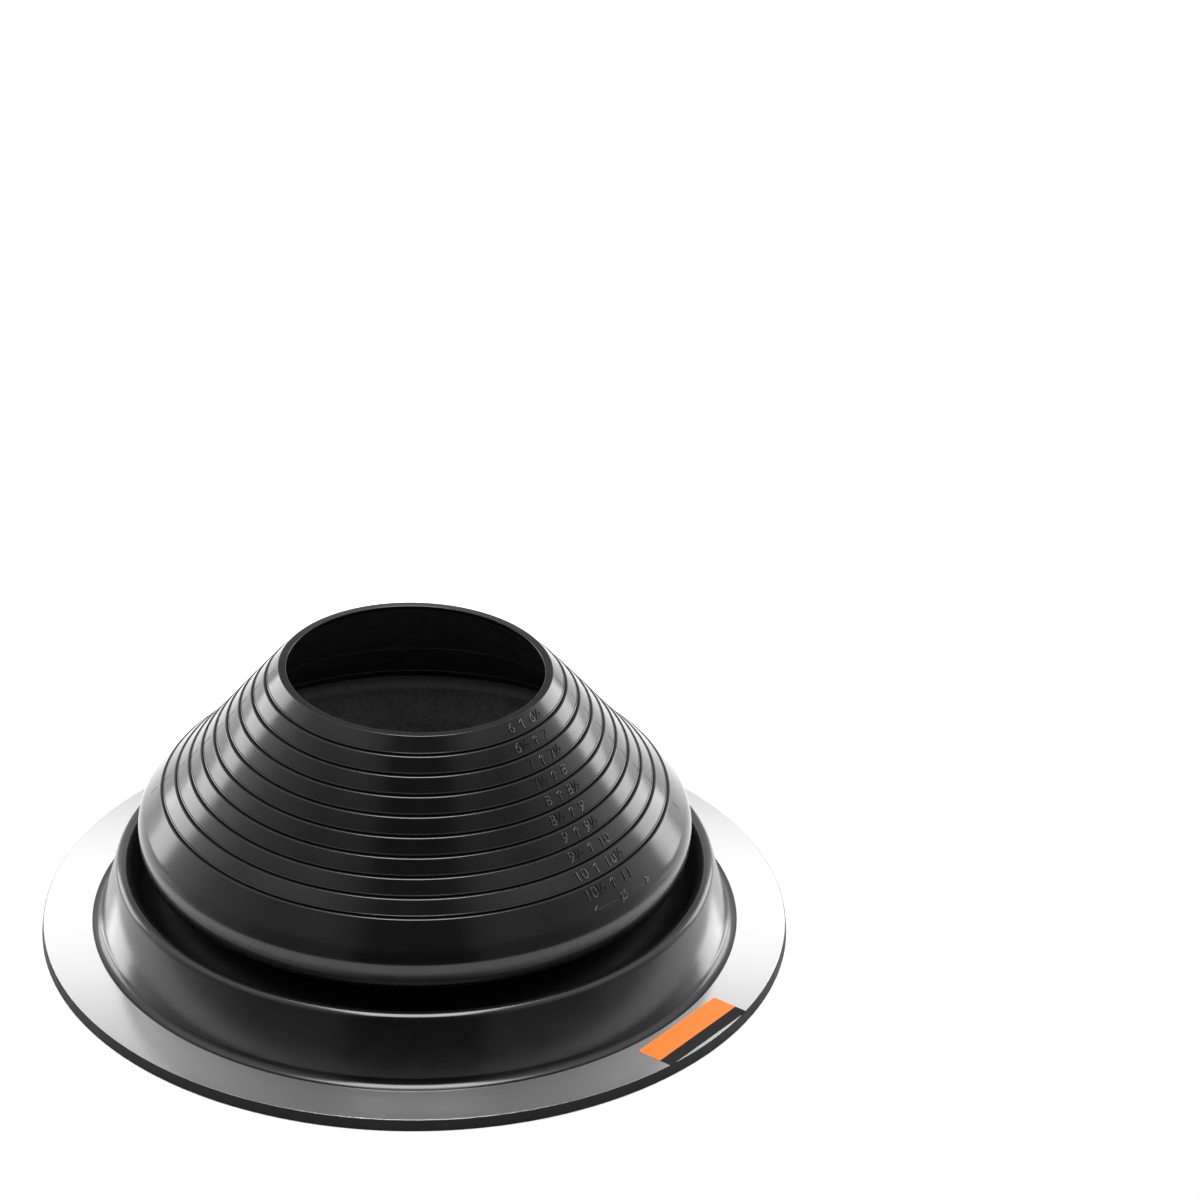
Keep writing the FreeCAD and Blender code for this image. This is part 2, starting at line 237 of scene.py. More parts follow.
def turned(name: str, section: Section) -> bpy.types.Object:
    """Turn a closed section once round the upright axis.

    Args:
        name: Name of the new piece.
        section: The section, in millimetres.

    Returns:
        The new piece, smooth shaded.
    """
    mesh = bmesh.new()
    places = [(0.0, -radius * MM, height * MM) for radius, height in section.points]
    verts = [mesh.verts.new(place) for place in places]
    edges = [mesh.edges.new((verts[i - 1], verts[i])) for i in range(len(verts))]
    bmesh.ops.spin(
        mesh,
        geom=verts + edges,
        cent=(0.0, 0.0, 0.0),
        axis=(0.0, 0.0, 1.0),
        angle=math.tau,
        steps=TURN_STEPS,
        use_merge=True,
    )
    bmesh.ops.remove_doubles(mesh, verts=mesh.verts, dist=MERGE)
    bmesh.ops.recalc_face_normals(mesh, faces=mesh.faces)
    if len(section.skins) > 1:
        paint(mesh, section)
    return finished(name, mesh)


def paint(mesh: bmesh.types.BMesh, section: Section) -> None:
    """Give each face of a turned piece the skin of its run of the section.

    Args:
        mesh: The turned mesh.
        section: Its section.
    """
    points = section.points
    tree = KDTree(len(points))
    for number, (radius, height) in enumerate(points):
        before = points[number - 1]
        tree.insert(((radius + before[0]) / 2, (height + before[1]) / 2, 0.0), number)
    tree.balance()
    for face in mesh.faces:
        count = len(face.verts)
        radius = sum(math.hypot(vert.co.x, vert.co.y) for vert in face.verts) / count
        height = sum(vert.co.z for vert in face.verts) / count
        number = tree.find((radius / MM, height / MM, 0.0))[1]
        kinds = [kind for start, kind in section.skins if start <= number]
        face.material_index = kinds[-1].value


def finished(name: str, mesh: bmesh.types.BMesh, crease: float = 40.0) -> bpy.types.Object:
    """Make an object of a mesh, smooth shaded except across sharp edges.

    Args:
        name: Name of the new piece.
        mesh: Its mesh, which is freed.
        crease: Angle in degrees from which an edge stays sharp.

    Returns:
        The new piece.
    """
    sharp = math.radians(crease)
    for face in mesh.faces:
        face.smooth = True
    for edge in mesh.edges:
        edge.smooth = not edge.is_manifold or edge.calc_face_angle(0.0) < sharp
    data = bpy.data.meshes.new(name)
    mesh.to_mesh(data)
    mesh.free()
    piece = bpy.data.objects.new(name, data)
    bpy.context.scene.collection.objects.link(piece)
    weighted = piece.modifiers.new("flat_faces_stay_flat", "WEIGHTED_NORMAL")
    weighted.keep_sharp = True
    weighted.weight = FLAT_WEIGHT
    LOG.info("%s has %d faces", name, len(data.polygons))
    return piece


# Finishes


@dataclass(frozen=True)
class Grain:
    """A noise pattern on the object's own coordinates.

    Attributes:
        scale: Cells per metre.
        detail: Octaves of finer noise.
        stretch: Scale of each axis.
    """

    scale: float
    detail: float
    stretch: Triple = (1.0, 1.0, 1.0)


class Nodes:
    """A small helper that builds the nodes of one material or world."""

    def __init__(self, owner: bpy.types.Material | bpy.types.World) -> None:
        """Start the nodes.

        Args:
            owner: The material or world that gets them.
        """
        owner.use_nodes = True
        self.owner = owner
        self.tree = owner.node_tree
        self.shader = self.tree.nodes.get("Principled BSDF") or self.tree.nodes["Background"]

    def add(self, kind: str, **values: object) -> bpy.types.Node:
        """Add a node.

        Args:
            kind: Type name of the node.
            values: Properties of the node, and values of its inputs by their name in capitals.

        Returns:
            The new node.
        """
        node = self.tree.nodes.new(kind)
        for key, value in values.items():
            if key.isupper():
                node.inputs[key.title().replace("_", " ")].default_value = value
            else:
                setattr(node, key, value)
        return node

    def link(self, source: bpy.types.NodeSocket, target: bpy.types.NodeSocket) -> None:
        """Join two sockets.

        Args:
            source: Output socket.
            target: Input socket.
        """
        self.tree.links.new(source, target)

    def drive(self, name: str, source: bpy.types.NodeSocket) -> None:
        """Join a socket to an input of the shader.

        Args:
            name: Name of the shader's input.
            source: Output socket.
        """
        self.link(source, self.shader.inputs[name])

    def fix(self, name: str, value: float | tuple[float, ...]) -> None:
        """Set an input of the shader to a constant value.

        Args:
            name: Name of the shader's input.
            value: The value.
        """
        self.shader.inputs[name].default_value = value

    def calculate(
        self,
        operation: str,
        first: bpy.types.NodeSocket | float,
        second: bpy.types.NodeSocket | float = 0.0,
    ) -> bpy.types.NodeSocket:
        """Work out something from two values.

        Args:
            operation: What is done with the two values.
            first: A socket or a number.
            second: A socket or a number.

        Returns:
            The result's socket.
        """
        node = self.add("ShaderNodeMath", operation=operation)
        for number, value in enumerate((first, second)):
            if isinstance(value, bpy.types.NodeSocket):
                self.link(value, node.inputs[number])
            else:
                node.inputs[number].default_value = value
        return node.outputs["Value"]

    def axes(self, coordinate: str) -> bpy.types.Node:
        """Take a texture coordinate apart.

        Args:
            coordinate: Name of the coordinate.

        Returns:
            The node with its X, Y and Z outputs.
        """
        parts = self.add("ShaderNodeSeparateXYZ")
        self.link(self.add("ShaderNodeTexCoord").outputs[coordinate], parts.inputs["Vector"])
        return parts

    def curve(
        self, source: bpy.types.NodeSocket, stops: tuple[Point, ...]
    ) -> bpy.types.NodeSocket:
        """Map a factor through straight runs between stops.

        Args:
            source: The factor's socket.
            stops: Factor and value at each stop, both from 0 to 1.

        Returns:
            The value's socket.
        """
        ramp = self.add("ShaderNodeValToRGB")
        elements = ramp.color_ramp.elements
        while len(elements) < len(stops):
            elements.new(0.5)
        for element, (place, _) in zip(elements, stops):
            element.position = place
        for element, (_, value) in zip(elements, stops):
            element.color = (value, value, value, 1.0)
        self.link(source, ramp.inputs["Fac"])
        return ramp.outputs["Color"]

    def noise(self, grain: Grain) -> bpy.types.NodeSocket:
        """Add noise on the object's own coordinates.

        Args:
            grain: The noise's pattern.

        Returns:
            The noise's factor socket.
        """
        place = self.add("ShaderNodeTexCoord")
        mapping = self.add("ShaderNodeMapping", SCALE=grain.stretch)
        noise = self.add("ShaderNodeTexNoise", SCALE=grain.scale, DETAIL=grain.detail)
        self.link(place.outputs["Object"], mapping.inputs["Vector"])
        self.link(mapping.outputs["Vector"], noise.inputs["Vector"])
        return noise.outputs["Fac"]

    def spread(
        self,
        source: bpy.types.NodeSocket,
        low: float,
        high: float,
        start: float = 0.3,
        end: float = 0.7,
    ) -> bpy.types.NodeSocket:
        """Map a factor to a range.

        Args:
            source: The factor's socket.
            low: Value at the start.
            high: Value at the end.
            start: Factor that gives the low value.
            end: Factor that gives the high value.

        Returns:
            The mapped value's socket.
        """
        node = self.add(
            "ShaderNodeMapRange", FROM_MIN=start, FROM_MAX=end, TO_MIN=low, TO_MAX=high
        )
        self.link(source, node.inputs["Value"])
        return node.outputs["Result"]

    def bump(
        self,
        source: bpy.types.NodeSocket,
        distance: float,
        before: bpy.types.NodeSocket | None = None,
    ) -> bpy.types.NodeSocket:
        """Add a bump.

        Args:
            source: Height socket, from 0 to 1.
            distance: Height of the bump in metres.
            before: Normal socket of an earlier bump.

        Returns:
            The normal's socket.
        """
        node = self.add("ShaderNodeBump", STRENGTH=1.0, DISTANCE=distance)
        self.link(source, node.inputs["Height"])
        if before is not None:
            self.link(before, node.inputs["Normal"])
        return node.outputs["Normal"]

    def mix(self, factor: bpy.types.NodeSocket, low: Triple, high: Triple) -> bpy.types.NodeSocket:
        """Mix two colours.

        Args:
            factor: The factor's socket.
            low: Colour at 0.
            high: Colour at 1.

        Returns:
            The colour's socket.
        """
        ramp = self.add("ShaderNodeValToRGB")
        ramp.color_ramp.elements[0].color = (*low, 1.0)
        ramp.color_ramp.elements[1].color = (*high, 1.0)
        self.link(factor, ramp.inputs["Fac"])
        return ramp.outputs["Color"]


@dataclass(frozen=True)
class RubberFinish:
    """Moulded black rubber.

    Attributes:
        name: Name of the material.
        shade: Colour of the rubber, dark and light part.
        roughness: Lowest and highest roughness.
        skin: Height of the fine skin texture, in metres.
        swell: Height of the slow waves of a moulded wall, in metres.
        specular: Strength of the mirror-like part.
        blue: How much more blue than red the light part of the colour has.
        index: Index of refraction of its surface.
        clouds: Pattern of the colour.
        patches: Pattern of the roughness.
        waves: Pattern of the slow waves.
        pores: Pattern of the skin texture.
    """

    name: str = "black_rubber"
    shade: Point = (0.0056, 0.007)
    roughness: Point = (0.16, 0.2)
    skin: float = 0.000005
    swell: float = 0.00003
    specular: float = 0.5
    blue: float = 1.05
    index: float = 1.5
    clouds: Grain = Grain(22.0, 4.0)
    patches: Grain = Grain(95.0, 5.0)
    waves: Grain = Grain(38.0, 1.0)
    pores: Grain = Grain(1800.0, 2.0)

    def material(self) -> bpy.types.Material:
        """Build the material.

        Returns:
            The material.
        """
        nodes = Nodes(bpy.data.materials.new(self.name))
        low, high = self.shade
        light = (high, high, high * self.blue)
        nodes.drive("Base Color", nodes.mix(nodes.noise(self.clouds), (low, low, low), light))
        nodes.drive("Roughness", nodes.spread(nodes.noise(self.patches), *self.roughness))
        swell = nodes.bump(nodes.noise(self.waves), self.swell)
        nodes.drive("Normal", nodes.bump(nodes.noise(self.pores), self.skin, swell))
        nodes.fix("IOR", self.index)
        nodes.fix("Specular IOR Level", self.specular)
        return nodes.owner


@dataclass(frozen=True)
class GlowPaintedRubber:
    """Rubber of the lower inside faces, with a painted glow: a lighter, speckled colour that stands
    in for soft light on them, darker towards the top.

    Attributes:
        bare: Colour of the rubber above the painted glow.
        glow_colour: Colour of the painted glow, dark and light part.
        top: Height where the painted glow starts, in metres.
        full: Height from which it is full, in metres.
        roughness: Roughness of these faces.
        specular: Strength of the mirror-like part.
        relief: Height of the faces' own grain, in metres.
        specks: Pattern of the painted glow's speckles.
        relief_grain: Pattern of their grain.
    """

    bare: float = 0.012
    glow_colour: Point = (0.2, 0.38)
    top: float = 0.066
    full: float = 0.044
    roughness: float = 0.5
    specular: float = 0.2
    relief: float = 0.00002
    specks: Grain = Grain(900.0, 4.0)
    relief_grain: Grain = Grain(900.0, 3.0)

    def material(self) -> bpy.types.Material:
        """Build the material.

        Returns:
            The material.
        """
        nodes = Nodes(bpy.data.materials.new("painted_glow_rubber"))
        height = nodes.axes("Object").outputs["Z"]
        # The painted glow fades in from nothing at the top height to full at the lower one, so
        # these faces are darker towards the top.
        share = nodes.spread(height, 0.0, 1.0, self.top, self.full)
        glow_tone = nodes.spread(nodes.noise(self.specks), *self.glow_colour)
        more = nodes.calculate("MULTIPLY", share, nodes.calculate("SUBTRACT", glow_tone, self.bare))
        nodes.drive("Base Color", nodes.calculate("ADD", more, self.bare))
        nodes.drive("Normal", nodes.bump(nodes.noise(self.relief_grain), self.relief))
        nodes.fix("Roughness", self.roughness)
        nodes.fix("Specular IOR Level", self.specular)
        return nodes.owner


@dataclass(frozen=True)
class MetalFinish:
    """Bare rolled aluminium sheet.

    Attributes:
        colour: Colour of the metal.
        roughness: Lowest and highest roughness, along the rolling streaks.
        streak: Depth of the rolling streaks, in metres.
        metallic: Share of the metal's mirror-like part, the rest being its dull, matt part.
        rolling: Pattern of the streaks.
    """

    colour: Triple = (0.87, 0.87, 0.87)
    roughness: Point = (0.208, 0.213)
    streak: float = 0.0000001
    metallic: float = 0.96
    rolling: Grain = Grain(60.0, 4.0, (1.0, 26.0, 1.0))

    def material(self) -> bpy.types.Material:
        """Build the material.

        Returns:
            The material.
        """
        nodes = Nodes(bpy.data.materials.new("rolled_aluminium"))
        nodes.fix("Metallic", self.metallic)
        nodes.fix("Base Color", (*self.colour, 1.0))
        streaks = nodes.noise(self.rolling)
        nodes.drive("Roughness", nodes.spread(streaks, *self.roughness))
        nodes.drive("Normal", nodes.bump(streaks, self.streak))
        return nodes.owner


@dataclass(frozen=True)
class FilmFinish:
    """Printed plastic film.

    Attributes:
        name: Name of the material.
        colour: Ink colour.
        roughness: Roughness of the film.
        specular: Strength of its mirror-like part.
        thin: Share of the colour where the ink is thinnest.
        relief: Height of the film's own texture, in metres.
        clouds: Pattern of the ink.
        fibres: Pattern of the texture.
    """

    name: str
    colour: Triple
    roughness: float = 0.28
    specular: float = 0.12
    thin: float = 0.95
    relief: float = 0.000004
    clouds: Grain = Grain(240.0, 3.0)
    fibres: Grain = Grain(900.0, 2.0)

    def material(self) -> bpy.types.Material:
        """Build the material.

        Returns:
            The material.
        """
        nodes = Nodes(bpy.data.materials.new(self.name))
        pale = tuple(channel * self.thin for channel in self.colour)
        nodes.drive("Base Color", nodes.mix(nodes.noise(self.clouds), pale, self.colour))
        nodes.drive("Normal", nodes.bump(nodes.noise(self.fibres), self.relief))
        nodes.fix("Roughness", self.roughness)
        nodes.fix("Specular IOR Level", self.specular)
        return nodes.owner


@dataclass(frozen=True)
class FloorFinish:
    """Matt white backdrop.

    Attributes:
        colour: Its colour.
        roughness: Its roughness.
    """

    colour: Triple = (0.9, 0.9, 0.9)
    roughness: float = 0.9

    def material(self) -> bpy.types.Material:
        """Build the material.

        Returns:
            The material.
        """
        nodes = Nodes(bpy.data.materials.new("white_floor"))
        nodes.fix("Base Color", (*self.colour, 1.0))
        nodes.fix("Roughness", self.roughness)
        nodes.fix("Specular IOR Level", 0.0)
        return nodes.owner


# The finish of each skin of the rubber.
SKIN_FINISHES: dict[Skin, RubberFinish | GlowPaintedRubber] = {
    Skin.GLOSSY: RubberFinish(),
    # Painted shade: a darker, less shiny copy of the rubber for the faces inside the boot.
    Skin.INSIDE: RubberFinish("shaded_inside_rubber", (0.002, 0.003), (0.5, 0.6), specular=0.05),
    # Painted glow: a lighter, speckled colour that stands in for soft light on the lower inside
    # faces.
    Skin.DUSTY: GlowPaintedRubber(),
    Skin.DULL: RubberFinish("dull_rubber", (0.006, 0.008), (0.5, 0.6), specular=0.14),
}


# The boot


@dataclass(frozen=True)
class Cone:
    """The stepped cone, from its lip down to the dome, in millimetres.

    Attributes:
        lip: Outer corner of the lip.
        growth: Growth in radius and height from cut line to cut line.
        count: Number of cut lines.
        sag: How far the line of ledges sags inward.
        ledge: Width of a ledge.
        riser: Height of the upright face above a ledge.
        nick: How far the inner corner of a ledge is cut in below the band above, and down.
        roundings: Rounding of a ledge's outer corner and of a band's foot.
        knife: Where the fine groove at the foot of a band starts, is deepest and ends.
        knife_depth: Depth of that groove.
        bore: Radius of the mouth.
        lip_roundings: Rounding of the lip's outer and inner corner.
        land: Where the inner face starts, at the foot of the land in the mouth.
        fine_steps: Radius, top and foot of each fine step of the inner face.
        squeeze: How far the lip is out of round.
        squeeze_from: Height from which the cone is out of round.
        squeeze_over: Rise over which that grows to all of it.
        squeeze_power: How steeply it grows.
    """

    lip: Point = (66.1, 142.95)
    growth: Point = (6.35, -7.25)
    count: int = 9
    sag: float = 1.25
    ledge: float = 1.3
    riser: float = 0.7
    nick: Point = (0.45, 0.35)
    roundings: Point = (0.75, 0.2)
    knife: Triple = (0.55, 0.75, 0.95)
    knife_depth: float = 0.12
    bore: float = 62.3
    lip_roundings: Point = (0.5, 0.4)
    land: Point = (63.05, 140.95)
    fine_steps: tuple[Triple, ...] = ((98.1, 99.8, 99.2), (122.4, 73.4, 72.9), (128.9, 66.3, 65.7))
    squeeze: float = 1.3
    squeeze_from: float = 90.0
    squeeze_over: float = 53.0
    squeeze_power: float = 1.5

    def cut(self, number: int) -> Point:
        """Middle of a ledge.

        Args:
            number: Number of the cut line, from 1 at the top.

        Returns:
            Radius and height.
        """
        share = max(0, number - 1) / (self.count - 1)
        dip = self.sag * math.sin(math.pi * share * share) / math.hypot(*self.growth)
        radius = self.lip[0] + number * self.growth[0] + dip * self.growth[1]
        height = self.lip[1] + number * self.growth[1] - dip * self.growth[0]
        return radius, height

    def band_top(self, number: int) -> Point:
        """Where the sloping band below a cut line starts.

        Args:
            number: Number of the cut line, or 0 for the lip.

        Returns:
            Radius and height.
        """
        if number == 0:
            return self.lip
        radius, height = self.cut(number)
        return radius + self.ledge / 2, height

    def band_foot(self, number: int) -> Point:
        """Where the sloping band above a cut line ends."""
        radius, height = self.cut(number)
        return radius - self.ledge / 2, height + self.riser

    def outer(self, section: Section) -> None:
        """Add the ledges and bands, from the dome up to the lip.

        Args:
            section: The section that grows.
        """
        for number in range(self.count, 0, -1):
            radius, height = self.cut(number)
            inner = (radius - self.ledge / 2 - self.nick[0], height - self.nick[1])
            foot, above = self.band_foot(number), self.band_top(number - 1)
            section.round(self.band_top(number), inner, self.roundings[0])
            section.skin(Skin.DULL).go(inner)
            section.round(foot, above, self.roundings[1]).skin(Skin.GLOSSY)
            self.knife_line(section, foot, above)

    def knife_line(self, section: Section, foot: Point, above: Point) -> None:
        """Add the fine groove that runs along the foot of a band.

        Args:
            section: The section that grows.
            foot: Foot of the band.
            above: Top of the band.
        """
        along = (Vector(above) - Vector(foot)).normalized()
        inward = Vector((-along.y, along.x))
        start, middle, end = (Vector(foot) + along * distance for distance in self.knife)
        section.go(tuple(start)).skin(Skin.DULL)
        section.go(tuple(middle + inward * self.knife_depth), tuple(end)).skin(Skin.GLOSSY)

    def inner(self, section: Section) -> None:
        """Add the lip and the inner face, down to the dome.

        Args:
            section: The section that grows.
        """
        rim, foot = (self.bore, self.lip[1]), (self.bore, self.land[1])
        section.round(self.lip, rim, self.lip_roundings[0])
        section.round(rim, foot, self.lip_roundings[1])
        # The inner faces get the painted shade of the inside.
        section.skin(Skin.INSIDE).go(foot, self.land)
        for radius, top, bottom in self.fine_steps:
            # The lower face of each fine step gets the painted glow.
            section.skin(Skin.INSIDE).go((radius, top)).skin(Skin.DUSTY).go((radius, bottom))

    def press(self, piece: bpy.types.Object) -> None:
        """Press the mouth slightly out of round, as a soft moulding lies.

        Args:
            piece: The finished piece.
        """
        for vert in piece.data.vertices:
            share = (vert.co.z / MM - self.squeeze_from) / self.squeeze_over
            if share > 0.0:
                angle = math.atan2(vert.co.y, vert.co.x)
                radius = math.hypot(vert.co.x, vert.co.y)
                depth = self.squeeze * MM * share**self.squeeze_power
                grow = 1.0 - depth * math.sin(2 * angle) / radius
                vert.co.x *= grow
                vert.co.y *= grow


@dataclass(frozen=True)
class Dome:
    """The dome that overhangs the fold, in millimetres.

    Attributes:
        shoulder: Where the lowest band of the cone runs into it.
        widest: Its widest ring.
        centre: Centre of the arc between the two.
        radius: Radius of that arc.
        belly_centre: Centre of the flatter arc below the widest ring.
        brow: Arc from the overhang's underside up into the belly.
        inner_bends: Arcs of the inner face, from the top down.
        inner_foot: Where the inner face of the belly ends.
        inner_radius: Radius of its flat arc down to there.
    """

    shoulder: Point = (132.28, 66.86)
    widest: Point = (135.2, 58.3)
    centre: Point = (121.2, 58.3)
    radius: float = 14.0
    belly_centre: Point = (93.2, 58.3)
    brow: Bend = Bend((129.58, 49.23), (133.95, 48.14), Turn.LEFT, start=(132.29, 45.64))
    inner_bends: tuple[Bend, ...] = (
        Bend((121.2, 58.3), (132.3, 58.3), Turn.RIGHT),
        Bend((128.8, 58.3), (131.96, 56.79), Turn.RIGHT),
    )
    inner_foot: Point = (117.53, 38.2)
    inner_radius: float = 55.1

    def outer(self, section: Section) -> None:
        """Add the outer face, from the overhang up to the cone.

        Args:
            section: The section that grows.
        """
        section.bend(self.brow, Skin.GLOSSY)
        section.arc(self.belly_centre, self.widest, Turn.LEFT)
        section.arc(self.centre, self.shoulder, Turn.LEFT)

    def inner(self, section: Section) -> None:
        """Add the inner face, from the cone down to the fold.

        Args:
            section: The section that grows.
        """
        for bend in self.inner_bends:
            section.bend(bend)
        section.bow(self.inner_foot, self.inner_radius, Turn.RIGHT)


@dataclass(frozen=True)
class Fold:
    """The leaning wall, its crest and the valley behind it, in millimetres.

    Attributes:
        fillet: Arc from the metal's hole up into the wall.
        crest: Arc over the top of the wall.
        valley: Arc along the bottom of the fold.
        inner_valley: The valley's face on the inside of the boot.
        inner_crest: The crest's face on the inside of the boot.
    """

    fillet: Bend = Bend((158.75, 10.8), (153.92, 9.5), Turn.RIGHT, start=(158.75, METAL_TOP))
    crest: Bend = Bend((143.0, 34.7), (139.24, 36.06), Turn.LEFT, start=(146.86, 35.74))
    valley: Bend = Bend((125.8, 28.3), (119.39, 35.98), Turn.RIGHT, start=(135.2, 24.9))
    inner_valley: Bend = Bend((125.8, 28.3), (137.93, 23.91), Turn.LEFT)
    inner_crest: Bend = Bend((143.0, 34.7), (144.06, 34.99), Turn.RIGHT, start=(141.97, 35.07))

    def outer(self, section: Section) -> None:
        """Add the outer face, from the flange in to the dome.

        Args:
            section: The section that grows.
        """
        section.bend(self.fillet, Skin.GLOSSY).bend(self.crest)
        section.skin(Skin.DULL).bend(self.valley)

    def inner(self, section: Section) -> None:
        """Add the inner face, from the dome out to the flange.

        Args:
            section: The section that grows.
        """
        # The crest's inner face gets the painted shade of the inside.
        section.bend(self.inner_valley).skin(Skin.INSIDE).bend(self.inner_crest)


@dataclass(frozen=True)
class Flange:
    """The flange that the metal ring lies on, in millimetres.

    Attributes:
        edge: Radius of its edge on the floor.
        rim: Outer corner of the rubber rim that stands up round the metal.
        roundings: Rounding of the edge's foot and of the rim's corner.
        seat: Inner and outer radius of the metal's seat.
        inside: Radius where its underside starts, below the wall.
        grooves: Radius where each sealant groove of the underside starts.
        groove: Width and depth of a groove.
    """

    edge: float = 183.6
    rim: Point = (183.05, 5.65)
    roundings: Point = (0.4, 0.1)
    seat: Point = (158.75, 182.8)
    inside: float = 153.47
    grooves: Triple = (161.1, 168.1, 175.1)
    groove: Point = (3.0, 1.0)

    def underside(self, section: Section) -> None:
        """Add the underside with its sealant grooves, from the wall outward.

        Args:
            section: The section that grows.
        """
        # The underside below the wall gets the painted shade of the inside.
        section.skin(Skin.INSIDE).go((self.inside, 0.0)).skin(Skin.GLOSSY)
        width, depth = self.groove
        for near in self.grooves:
            far = near + width
            section.go((near, 0.0), (near, depth), (far, depth), (far, 0.0))

    def outer(self, section: Section) -> None:
        """Add the edge, the rim and the metal's seat, from the floor up and inward.

        Args:
            section: The section that grows.
        """
        near, far = self.seat
        section.skin(Skin.DULL).round((self.edge, 0.0), self.rim, self.roundings[0])
        section.round(self.rim, (far, self.rim[1]), self.roundings[1])
        section.go((far, self.rim[1]), (far, SEAT_HEIGHT), (near, SEAT_HEIGHT))


@dataclass(frozen=True)
class RubberBoot:
    """The whole rubber moulding, as one piece.

    Attributes:
        cone: Its stepped cone.
        dome: The dome below the cone.
        fold: The fold round the dome.
        flange: The flange round the fold.
    """

    cone: Cone = Cone()
    dome: Dome = Dome()
    fold: Fold = Fold()
    flange: Flange = Flange()

    def build(self) -> bpy.types.Object:
        """Build the piece.

        Returns:
            The piece, which stands for the boot's node.
        """
        section = Section()
        self.flange.underside(section)
        for part in (self.flange, self.fold, self.dome, self.cone):
            part.outer(section)
        for part in (self.cone, self.dome, self.fold):
            part.inner(section)
        piece = turned("boot_rubber", section)
        self.cone.press(piece)
        for skin in Skin:
            piece.data.materials.append(SKIN_FINISHES[skin].material())
        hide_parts("rubber_boot")
        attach(piece, "root")
        return piece


# Raised size figures


def loop(
    centre: Point, across: float, tall: float, start: float, sweep: float, count: int = 10
) -> list[Point]:
    """Points on a part of an ellipse.

    Args:
        centre: Its centre.
        across: Half its width.
        tall: Half its height.
        start: First angle, in degrees.
        sweep: Angle that is passed, in degrees.
        count: Number of steps.

    Returns:
        The points.
    """
    angles = [math.radians(start + sweep * i / count) for i in range(count + 1)]
    return [(centre[0] + across * math.cos(a), centre[1] + tall * math.sin(a)) for a in angles]


# Each figure is a list of strokes in a cell one unit tall, centred on its own middle.
FIGURES: dict[str, list[list[Point]]] = {
    "0": [loop((0.0, 0.0), 0.27, 0.5, 90, 360, 16)],
    "1": [[(-0.12, 0.36), (0.03, 0.5), (0.03, -0.5)]],
    "2": [loop((0.0, 0.22), 0.26, 0.28, 160, -200) + [(-0.27, -0.5), (0.28, -0.5)]],
    "6": [[(0.2, 0.5), (-0.1, 0.2)], loop((0.0, -0.2), 0.27, 0.3, 150, 360, 14)],
    "7": [[(-0.28, 0.5), (0.28, 0.5), (-0.06, -0.5)]],
    "8": [loop((0.0, 0.25), 0.22, 0.25, 270, 360, 12), loop((0.0, -0.24), 0.27, 0.26, 90, 360, 14)],
    "9": [loop((0.0, 0.2), 0.27, 0.3, -30, 360, 14), [(0.1, -0.2), (-0.2, -0.5)]],
    "^": [[(0.0, -0.5), (0.0, 0.5)], [(-0.24, 0.22), (0.0, 0.5), (0.24, 0.22)]],
    "/": [[(-0.22, -0.5), (0.22, 0.5)]],
    "|": [[(0.0, -0.5), (0.0, 0.5)]],
    "O": [loop((0.0, 0.0), 0.34, 0.36, 90, 360, 16), [(-0.4, -0.5), (0.4, 0.5)]],
    "<": [[(1.4, 0.0), (-1.4, 0.0)], [(-1.0, 0.3), (-1.4, 0.0), (-1.0, -0.3)]],
    ">": [[(-1.4, 0.0), (1.4, 0.0)], [(1.0, 0.3), (1.4, 0.0), (1.0, -0.3)]],
}


@dataclass(frozen=True)
class Mark:
    """One figure of a row.

    Attributes:
        figure: Key of the figure.
        place: Its middle along the row, in millimetres.
        lift: Its middle above the row's middle, in millimetres.
        size: Its height, in millimetres.
        width: Width of its raised strokes, in millimetres.
        height: How far they stand out, in millimetres.
    """

    figure: str
    place: float
    lift: float = 0.0
    size: float = 4.0
    width: float = 0.72
    height: float = 0.36


@dataclass(frozen=True)
class Letter:
    """What a letter of a row puts on the band, in millimetres.

    Attributes:
        marks: Its figures, placed from where the row has come to.
        before: Room that is left before it.
        after: How far the row goes on after it.
    """

    marks: tuple[Mark, ...]
    before: float = 0.0
    after: float = 3.3


# The letters of a row that are more than one plain figure: the arrow, and h for a half.
LETTERS: dict[str, Letter] = {
    "^": Letter((Mark("^", 0.0),), before=3.0, after=6.0),
    "h": Letter(
        (
            Mark("1", -1.0, 0.85, 2.4, 0.52),
            Mark("/", 0.3, 0.0, 4.0, 0.52),
            Mark("2", 1.8, -0.85, 2.5, 0.52),
        ),
        after=3.8,
    ),
}


def row_marks(text: str, scale: float) -> list[Mark]:
    """Lay out a row such as 6^6h.

    Args:
        text: The row's letters.
        scale: How much larger than usual the figures are.

    Returns:
        The marks, about the row's middle at 0.
    """
    marks: list[Mark] = []
    place = 0.0
    for figure in text:
        letter = LETTERS.get(figure) or Letter((Mark(figure, 0.0),))
        place += letter.before
        marks.extend(replace(mark, place=place + mark.place) for mark in letter.marks)
        place += letter.after
    middle = (marks[0].place + marks[-1].place) / 2
    return [
        replace(
            mark,
            place=(mark.place - middle) * scale,
            lift=mark.lift * scale,
            size=mark.size * scale,
        )
        for mark in marks
    ]


